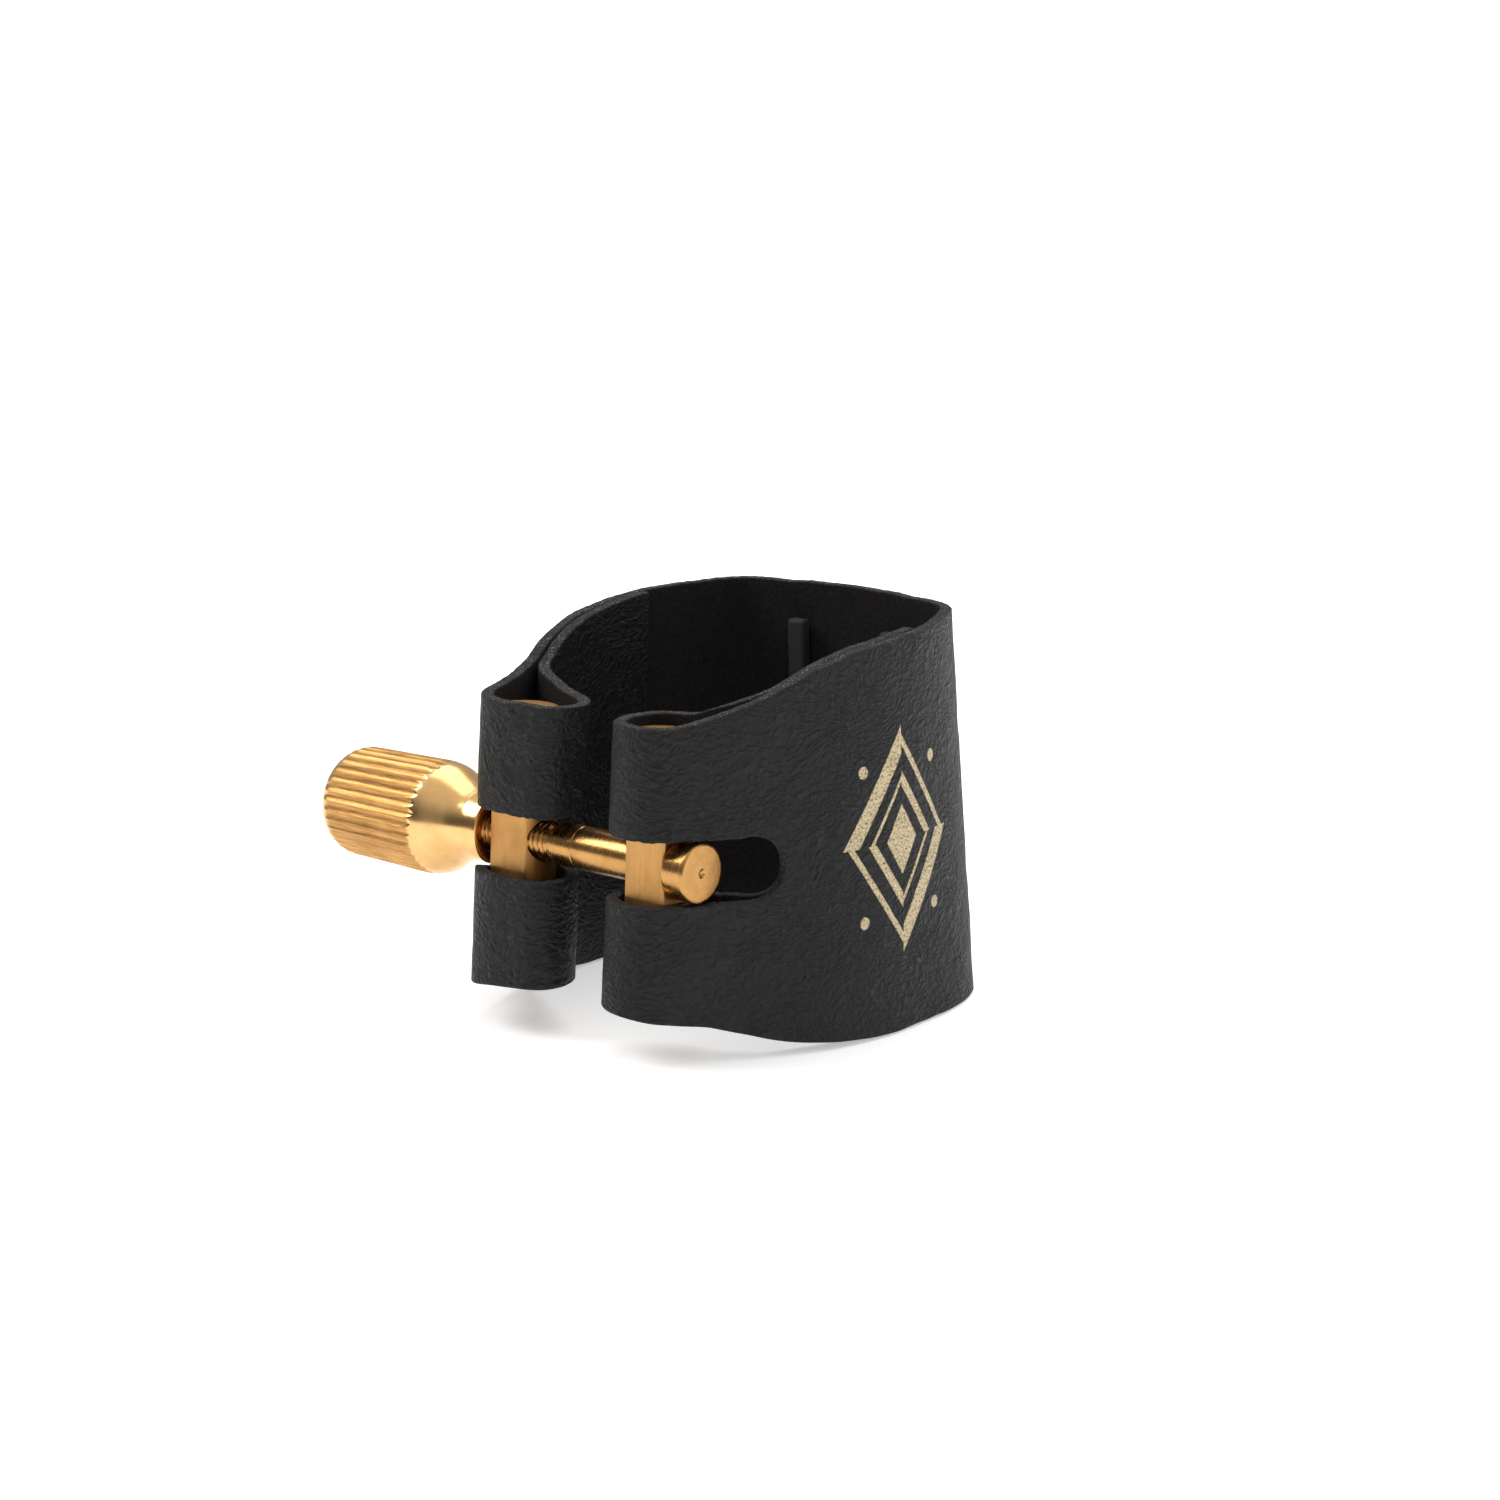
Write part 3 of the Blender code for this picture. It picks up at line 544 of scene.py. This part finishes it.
    # vertices along the middle that the two loops share
    key = {}
    remap = np.full(len(verts), -1)
    kept = []
    rounded = np.round(verts * 2000).astype(np.int64)
    for i in np.nonzero(used)[0]:
        tag = tuple(rounded[i]) if abs(verts[i, 2]) < 0.02 else None
        if tag is not None and tag in key:
            remap[i] = key[tag]
            continue
        remap[i] = len(kept)
        kept.append(i)
        if tag is not None:
            key[tag] = remap[i]
    clean = []
    for f in faces:
        g = [int(remap[v]) for v in f]
        g = [v for j, v in enumerate(g) if v != g[j - 1]]
        if len(set(g)) >= 3:
            clean.append(g)
    mesh = bpy.data.meshes.new(name)
    mesh.from_pydata((verts[kept] * MM).tolist(), [], clean)
    mesh.update()
    values = data[kept]
    for label, column in (("strap_edge", 3), ("strap_flesh", 4), ("strap_fold", 5)):
        mesh.attributes.new(label, "FLOAT", "POINT").data.foreach_set("value", values[:, column].astype(np.float32))
    mesh.attributes.new("strap_place", "FLOAT_VECTOR", "POINT").data.foreach_set("vector", values[:, :3].astype(np.float32).ravel())
    bm = bmesh.new()
    bm.from_mesh(mesh)
    bmesh.ops.recalc_face_normals(bm, faces=bm.faces)
    print(name, "open edges", sum(1 for e in bm.edges if len(e.link_faces) != 2), "faces", len(bm.faces), "volume", round(bm.calc_volume() * 1e9, 1))
    bm.to_mesh(mesh)
    bm.free()
    mesh.shade_smooth()
    mesh.set_sharp_from_angle(angle=math.radians(62))
    obj = bpy.data.objects.new(name, mesh)
    scene.collection.objects.link(obj)
    return obj


hide = leather()
strap_right = strap_half("strap_right", RIGHT_FOLD, RIGHT_MERGE_Y, 1, (10.8, -11.6))
strap_left = strap_half("strap_left", LEFT_FOLD, LEFT_MERGE_Y, -1, (11.9, -11.1))
for obj in (strap_right, strap_left):
    obj.data.materials.append(hide)
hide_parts("band_right", "band_back")
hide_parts("band_left")
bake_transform(strap_right)
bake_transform(strap_left)


# ---------------------------------------------------------------- pins
def baked(obj, name):
    """The object's mesh with its modifiers applied and its place put into the vertices, as a new object."""
    bpy.context.view_layer.update()
    done = obj.evaluated_get(bpy.context.evaluated_depsgraph_get())
    mesh = bpy.data.meshes.new_from_object(done)
    mesh.transform(obj.matrix_world)
    mesh.name = name
    new = bpy.data.objects.new(name, mesh)
    scene.collection.objects.link(new)
    return new


def pin(name, x, hole_r):
    tilt = -math.atan(PIN_LEAN)
    length, mid = PIN_TOP - PIN_BOTTOM, (PIN_TOP + PIN_BOTTOM) / 2
    bm = bmesh.new()
    bmesh.ops.create_cone(bm, cap_ends=True, segments=112, radius1=PIN_R * MM, radius2=PIN_R * MM, depth=length * MM,
                          matrix=Matrix.Translation((0, 0, mid * MM)))
    rims = [e for e in bm.edges if len(e.link_faces) == 2 and e.calc_face_angle() > 1.0]
    bmesh.ops.bevel(bm, geom=rims, offset=0.24 * MM, segments=4, profile=0.6, affect="EDGES")
    mesh = bpy.data.meshes.new(name)
    bm.to_mesh(mesh)
    bm.free()
    body = bpy.data.objects.new(name + "_blank", mesh)
    body.location = Vector((x, PIN_Y, 0)) * MM
    body.rotation_euler = (tilt, 0, 0)
    scene.collection.objects.link(body)
    tools = []
    bm = bmesh.new()
    bmesh.ops.create_cone(bm, cap_ends=True, segments=72, radius1=hole_r * MM, radius2=hole_r * MM, depth=8 * MM,
                          matrix=Matrix.Translation(Vector((x, PIN_Y, 0)) * MM) @ Matrix.Rotation(math.radians(90), 4, "Y"))
    mesh = bpy.data.meshes.new("hole")
    bm.to_mesh(mesh)
    bm.free()
    hole = bpy.data.objects.new("hole", mesh)
    bm = bmesh.new()
    bmesh.ops.create_cube(bm, size=1.0)
    bmesh.ops.scale(bm, vec=Vector((6, 3, 2 * PIN_FLAT_H)) * MM, verts=bm.verts)
    mesh = bpy.data.meshes.new("flat")
    bm.to_mesh(mesh)
    bm.free()
    flat = bpy.data.objects.new("flat", mesh)
    flat.location = Vector((x, PIN_Y - PIN_FLAT - 1.5, 0)) * MM
    flat.rotation_euler = (tilt, 0, 0)
    bm = bmesh.new()
    bmesh.ops.create_cube(bm, size=1.0)
    bmesh.ops.scale(bm, vec=Vector((3, 8, 5)) * MM, verts=bm.verts)
    mesh = bpy.data.meshes.new("seat")
    bm.to_mesh(mesh)
    bm.free()
    seat = bpy.data.objects.new("seat", mesh)
    seat.location = Vector((SEAT_X + 1.5, PIN_Y, 0)) * MM
    for tool in ((flat, hole, seat) if x > 0 else (flat, hole)):
        scene.collection.objects.link(tool)
        cut = body.modifiers.new(tool.name, "BOOLEAN")
        cut.operation, cut.solver, cut.object = "DIFFERENCE", "EXACT", tool
        tools.append(tool)
    soft = body.modifiers.new("edges", "BEVEL")
    soft.width, soft.segments, soft.limit_method, soft.angle_limit = 0.055 * MM, 2, "ANGLE", math.radians(32)
    made = baked(body, name)
    for old in (body, *tools):
        bpy.data.objects.remove(old, do_unlink=True)
    made.data.materials.clear()
    made.data.shade_smooth()
    made.data.set_sharp_from_angle(angle=math.radians(28))
    return made


pin_brass = brass("satin_brass", 0.38, (5.5, 5.5, 0.22), 0.8, tarnish=0.5, satin=0.08)
for side, (x, hole_r) in PINS.items():
    made = pin(side + "_pin_turned", x, hole_r)
    made.data.materials.append(pin_brass)
    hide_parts(side + "_post")
    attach(made, side + "_pin")


# ---------------------------------------------------------------- turned pieces about the rod's axis
def lathe(name, stations, around, radius):
    """A closed turned solid. stations is a list of x; radius(x, angle) gives the outer side; the ends close on the axis."""
    angles = np.arange(around) / around * 2 * math.pi
    verts, faces = [], []
    for k, x in enumerate(stations):
        r = radius(k, angles)
        verts.append(np.stack([np.full(around, x), PIN_Y + r * np.cos(angles), r * np.sin(angles)], 1))
    verts = np.concatenate(verts)
    n = len(stations)
    first, last = len(verts), len(verts) + 1
    verts = np.concatenate([verts, [[stations[0], PIN_Y, 0.0]], [[stations[-1], PIN_Y, 0.0]]])
    for i in range(n - 1):
        a = i * around + np.arange(around)
        b = i * around + (np.arange(around) + 1) % around
        faces += np.stack([a, b, b + around, a + around], 1).tolist()
    ring = np.arange(around)
    faces += np.stack([ring * 0 + first, (ring + 1) % around, ring], 1).tolist()
    faces += np.stack([ring * 0 + last, (n - 1) * around + ring, (n - 1) * around + (ring + 1) % around], 1).tolist()
    mesh = bpy.data.meshes.new(name)
    mesh.from_pydata((verts * MM).tolist(), [], faces)
    bm = bmesh.new()
    bm.from_mesh(mesh)
    bmesh.ops.recalc_face_normals(bm, faces=bm.faces)
    bm.to_mesh(mesh)
    bm.free()
    mesh.shade_smooth()
    mesh.set_sharp_from_angle(angle=math.radians(38))
    obj = bpy.data.objects.new(name, mesh)
    scene.collection.objects.link(obj)
    return obj


def arc_points(cx, cr, size, start, stop, count):
    """Points (x, r) of a rounded corner about (cx, cr), from angle start to stop in degrees, 0 along +X."""
    return [(cx + size * math.cos(math.radians(a)), cr + size * math.sin(math.radians(a))) for a in np.linspace(start, stop, count)]


# rod: dimpled head, scribed shank, M3 thread
THREAD_R, PITCH, THREAD_DEPTH = 1.48, 0.5, 0.27
profile = [(9.66, 0.02), (9.70, 0.09), (9.76, 0.18), (9.83, 0.26), (9.885, 0.33), (9.9, 0.38)]
profile += [(9.9, r) for r in (0.5, 0.7, 0.9, 1.1, 1.3, 1.5, 1.7, 1.85, 1.96, 2.03)]
profile += arc_points(9.76, 2.06, 0.14, 78, 8, 5)
profile += [(x, 2.2) for x in (9.7, 9.5, 9.2, 8.8, 8.4, 8.1)] + [(7.95, 2.2), (7.87, 2.175), (7.8, 2.11), (7.76, 2.04), (7.75, 1.95), (7.75, 1.72)]
profile += [(7.73, 1.65), (7.68, 1.625)]
for x in np.arange(7.4, -1.2, -0.4):
    profile.append((float(x), 1.625))
profile += [(-1.38, 1.625), (-1.44, 1.62), (-1.48, 1.595), (-1.53, 1.595), (-1.57, 1.62), (-1.63, 1.625), (-2.4, 1.625), (-3.2, 1.625), (-3.62, 1.625), (-3.68, 1.615), (-3.75, 1.56), (-3.80, 1.50), (-3.85, 1.475)]
turned_part = len(profile)
thread_x = list(np.arange(-3.90, -16.66, -0.0417))
profile += [(x, THREAD_R) for x in thread_x]
profile += [(-16.75, 1.38), (-16.85, 1.29), (-16.93, 1.21), (-16.98, 1.13), (-17.0, 1.05)]


def rod_radius(k, angles):
    x, r = profile[k]
    base = np.full(len(angles), r)
    if turned_part <= k < turned_part + len(thread_x):
        phase = (x / PITCH - angles / (2 * math.pi)) % 1.0
        tooth = np.clip(np.abs(phase - 0.5) * 2 * 1.30 - 0.08, 0, 1)
        fade = float(smooth(-x, 3.95, 4.35)) * float(smooth(x, -16.6, -16.1))
        base = r - THREAD_DEPTH * (1 - tooth) * fade
    return base


rod = lathe("draw_rod_turned", [p[0] for p in profile], 96, rod_radius)
rod.data.materials.append(brass("turned_brass", 0.20, (14.0, 0.7, 0.7), 0.55, tarnish=0.62, radial=(PIN_Y, 0.0), satin=0.10))
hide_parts("draw_rod")
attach(rod, "right_pin")

def nut_brass():
    """Polished neck and dome; the knurl is matted and streaked along its flutes."""
    n = Nodes("nut_brass_polished")
    coords = n.new("ShaderNodeTexCoord").outputs["Object"]
    split = n.new("ShaderNodeSeparateXYZ")
    n.put(split.inputs[0], coords)
    x = split.outputs[0]
    dy = n.maths("ADD", split.outputs[1], -PIN_Y * MM)
    r = n.maths("SQRT", n.maths("ADD", n.maths("MULTIPLY", dy, dy), n.maths("MULTIPLY", split.outputs[2], split.outputs[2])))
    turn = n.maths("ARCTAN2", split.outputs[2], dy)
    # inside the flutes the surface lies under the smooth outline
    knurl = n.maths("MULTIPLY", n.ramp(x, -15.95 * MM, -15.60 * MM, 1.0, 0.0), n.ramp(x, -25.4 * MM, -24.4 * MM, 0.0, 1.0))
    along = n.new("ShaderNodeCombineXYZ")
    n.put(along.inputs[0], n.maths("MULTIPLY", x, 120.0))
    n.put(along.inputs[1], n.maths("MULTIPLY", turn, 9.0))
    streaks = n.noise(along.outputs[0], 3.0, 5.0, 0.7).outputs["Fac"]
    pocks = n.noise(n.mapping(coords, scale=(0.6, 1.0, 1.0)), 5200.0, 3.0, 0.6).outputs["Fac"]
    rings = n.noise(n.mapping(coords, scale=(5.0, 0.2, 0.2)), 1000.0, 3.0, 0.6).outputs["Fac"]
    film = n.noise(coords, 420.0, 4.0, 0.6).outputs["Fac"]
    polished = n.mix(n.ramp(film, 0.35, 0.75, 0.0, 0.55), (0.80, 0.50, 0.21), (0.64, 0.33, 0.10))
    matted = n.mix(n.ramp(streaks, 0.36, 0.64), (0.37, 0.178, 0.048), (0.64, 0.355, 0.12))
    matted = n.mix(n.ramp(pocks, 0.52, 0.72, 0.0, 0.35), matted, (0.50, 0.27, 0.09))
    n.put(n.shader.inputs["Base Color"], n.mix(knurl, polished, matted))
    n.shader.inputs["Metallic"].default_value = 1.0
    n.put(n.shader.inputs["Roughness"], n.mixf(knurl, n.ramp(film, 0.3, 0.7, 0.17, 0.24), n.ramp(streaks, 0.3, 0.7, 0.36, 0.50)))
    height = n.mixf(knurl, n.maths("MULTIPLY", rings, 0.35), n.maths("ADD", n.maths("MULTIPLY", streaks, 2.4), n.maths("MULTIPLY", pocks, 1.2)))
    n.put(n.shader.inputs["Normal"], n.bump(height, 0.000012, 0.8))
    return n.mat


# thumb nut: blind bore, polished neck and flare, rolled straight knurl, domed end
RIDGES, AROUND = 36, 432
outline = [(-12.0, 2.70), (-12.6, 2.84), (-13.1, 3.02), (-13.6, 3.30), (-14.1, 3.60), (-14.6, 3.90), (-15.0, 4.10), (-15.5, 4.26), (-15.9, 4.335), (-16.3, 4.37), (-17.0, 4.375), (-19.5, 4.32), (-22.0, 4.28), (-24.2, 4.24)]
curve = spline(outline, 10)
bore = [(-20.4, 0.05), (-20.35, 0.5), (-20.1, 1.2), (-19.8, 1.56)] + [(float(x), 1.56) for x in np.arange(-19.3, -10.6, 0.6)] + [(-10.6, 1.56), (-10.45, 1.66), (-10.33, 1.82), (-10.3, 1.9)]
nut_profile = bore + [(-10.3, 2.15), (-10.3, 2.42)] + arc_points(-10.46, 2.48, 0.16, 10, 90, 5) + [(-10.7, 2.645), (-11.2, 2.655), (-11.6, 2.665)]
nut_profile += [(float(a), float(b)) for a, b in curve]
dome = []
for t in np.linspace(0, 1, 26)[1:]:
    turn = math.radians(90) * t
    dome.append((-24.2 - 2.6 * math.sin(turn), max(4.24 * math.cos(turn) ** 0.82, 0.03)))
nut_profile += dome
# finer stations where the knurl begins
fine_profile = []
for a, b in zip(nut_profile, nut_profile[1:]):
    pieces = 1
    if -17.2 < min(a[0], b[0]) and max(a[0], b[0]) < -14.9 and a[1] > 2.8:
        pieces = 3
    for j in range(pieces):
        fine_profile.append((a[0] + (b[0] - a[0]) * j / pieces, a[1] + (b[1] - a[1]) * j / pieces))
fine_profile.append(nut_profile[-1])
bore_count = len(bore)


def nut_radius(k, angles):
    x, r = fine_profile[k]
    base = np.full(len(angles), r)
    if k > bore_count + 8 and x < -14.9:
        phase = angles * RIDGES / (2 * math.pi)
        frac = (phase % 1.0) * 2 - 1
        which = np.floor(phase).astype(int) % RIDGES
        jitter = WAVES[which % 24, which % 4]
        body_r = r if x < -17.0 else 4.375
        deep = 0.165 + 0.03 * jitter
        fade = float(smooth(x, -25.6, -24.3))
        flute = body_r - deep * (1 - np.abs(frac) ** 1.9) * fade
        base = np.minimum(base, flute) if x > -24.2 else r - deep * (1 - np.abs(frac) ** 1.9) * fade
    return base


nut = lathe("thumb_nut_knurled", [p[0] for p in fine_profile], AROUND, nut_radius)
nut.data.materials.append(nut_brass())
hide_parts("thumb_nut")
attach(nut, "thumb")


# ---------------------------------------------------------------- reed strips
pad = rubber()
for name in ("reed_strip_left", "reed_strip_right"):
    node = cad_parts[name]
    node.data.materials.clear()
    node.data.materials.append(pad)
    for slot_ in node.material_slots:
        slot_.material = pad
    edges = node.modifiers.new("edges", "BEVEL")
    edges.width, edges.segments, edges.limit_method, edges.angle_limit = 0.05 * MM, 2, "ANGLE", math.radians(30)


# ---------------------------------------------------------------- floor, light, camera
FLOOR_Z = -0.01416
bpy.ops.mesh.primitive_circle_add(vertices=96, radius=1.6, fill_type="NGON", location=(0, 0, FLOOR_Z))
floor = bpy.context.active_object
floor.name = "floor"
n = Nodes("pale_floor")
coords = n.new("ShaderNodeTexCoord").outputs["Object"]
n.put(n.shader.inputs["Base Color"], n.mix(n.noise(coords, 60.0, 3.0, 0.5).outputs["Fac"], (0.86, 0.86, 0.86), (0.89, 0.89, 0.89)))
n.shader.inputs["Roughness"].default_value = 0.8
n.shader.inputs["Specular IOR Level"].default_value = 0.1
n.shader.inputs["Emission Color"].default_value = (1, 1, 1, 1)
n.shader.inputs["Emission Strength"].default_value = 0.42
floor.data.materials.append(n.mat)

world = scene.world or bpy.data.worlds.new("studio")
scene.world = world
world.use_nodes = True
tree = world.node_tree
tree.nodes.clear()
out = tree.nodes.new("ShaderNodeOutputWorld")
room = tree.nodes.new("ShaderNodeBackground")
paper = tree.nodes.new("ShaderNodeBackground")
choose = tree.nodes.new("ShaderNodeMixShader")
rays = tree.nodes.new("ShaderNodeLightPath")
coord = tree.nodes.new("ShaderNodeTexCoord")
dot = tree.nodes.new("ShaderNodeVectorMath")
dot.operation = "DOT_PRODUCT"
dim = Vector((-0.55, -0.82, 0.10)).normalized()
dot.inputs[1].default_value = dim
fade = tree.nodes.new("ShaderNodeMapRange")
fade.interpolation_type = "SMOOTHSTEP"
for key, value in (("From Min", 0.25), ("From Max", 1.0), ("To Min", 0.46), ("To Max", 0.12)):
    fade.inputs[key].default_value = value
tree.links.new(coord.outputs["Generated"], dot.inputs[0])
tree.links.new(dot.outputs["Value"], fade.inputs["Value"])
rise = tree.nodes.new("ShaderNodeSeparateXYZ")
tree.links.new(coord.outputs["Generated"], rise.inputs[0])
sky = tree.nodes.new("ShaderNodeMapRange")
sky.interpolation_type = "SMOOTHSTEP"
for key, value in (("From Min", 0.25), ("From Max", 0.9), ("To Min", 0.0), ("To Max", 0.42)):
    sky.inputs[key].default_value = value
tree.links.new(rise.outputs[2], sky.inputs["Value"])
total = tree.nodes.new("ShaderNodeMath")
tree.links.new(fade.outputs["Result"], total.inputs[0])
tree.links.new(sky.outputs["Result"], total.inputs[1])
tree.links.new(total.outputs[0], room.inputs["Strength"])
room.inputs["Color"].default_value = (1.0, 1.0, 1.0, 1.0)
paper.inputs["Color"].default_value = (1.0, 1.0, 1.0, 1.0)
paper.inputs["Strength"].default_value = 1.0
tree.links.new(rays.outputs["Is Camera Ray"], choose.inputs[0])
tree.links.new(room.outputs[0], choose.inputs[1])
tree.links.new(paper.outputs[0], choose.inputs[2])
tree.links.new(choose.outputs[0], out.inputs["Surface"])


def softbox(name, where, target, size, power, size_y=None):
    light = bpy.data.lights.new(name, "AREA")
    light.shape = "RECTANGLE"
    light.size, light.size_y = size, size_y or size
    light.energy = power
    obj = bpy.data.objects.new(name, light)
    obj.location = where
    obj.rotation_mode = "QUATERNION"
    obj.rotation_quaternion = (Vector(target) - Vector(where)).to_track_quat("-Z", "Y")
    scene.collection.objects.link(obj)
    return obj


softbox("key", (-0.46, -0.26, 0.50), (0, -0.004, 0), 0.34, 2.75, 0.34)
softbox("overhead", (-0.05, 0.30, 0.66), (0, 0, 0), 0.60, 2.3)
softbox("side", (0.62, 0.22, 0.10), (0, 0, 0), 0.50, 0.9, 0.5)

AZIMUTH, ELEVATION, ROLL, AWAY = math.radians(39.93), math.radians(12.325), math.radians(0.473), 261.54
back = Vector((math.sin(AZIMUTH) * math.cos(ELEVATION), -math.cos(AZIMUTH) * math.cos(ELEVATION), math.sin(ELEVATION)))
right = Vector((math.cos(AZIMUTH), math.sin(AZIMUTH), 0))
up = back.cross(right)
right, up = right * math.cos(ROLL) + up * math.sin(ROLL), up * math.cos(ROLL) - right * math.sin(ROLL)
aim = Vector((0.893 * math.cos(AZIMUTH), 0.893 * math.sin(AZIMUTH), 5.068))
lens = bpy.data.cameras.new("camera")
lens.sensor_width, lens.lens = 36.0, 3431.9 / 1500 * 36.0
lens.clip_start, lens.clip_end = 0.01, 10.0
camera = bpy.data.objects.new("camera", lens)
camera.matrix_world = Matrix.Translation((aim + back * AWAY) * MM) @ Matrix((right, up, back)).transposed().to_4x4()
scene.collection.objects.link(camera)
scene.camera = camera
scene.view_settings.view_transform = "Standard"
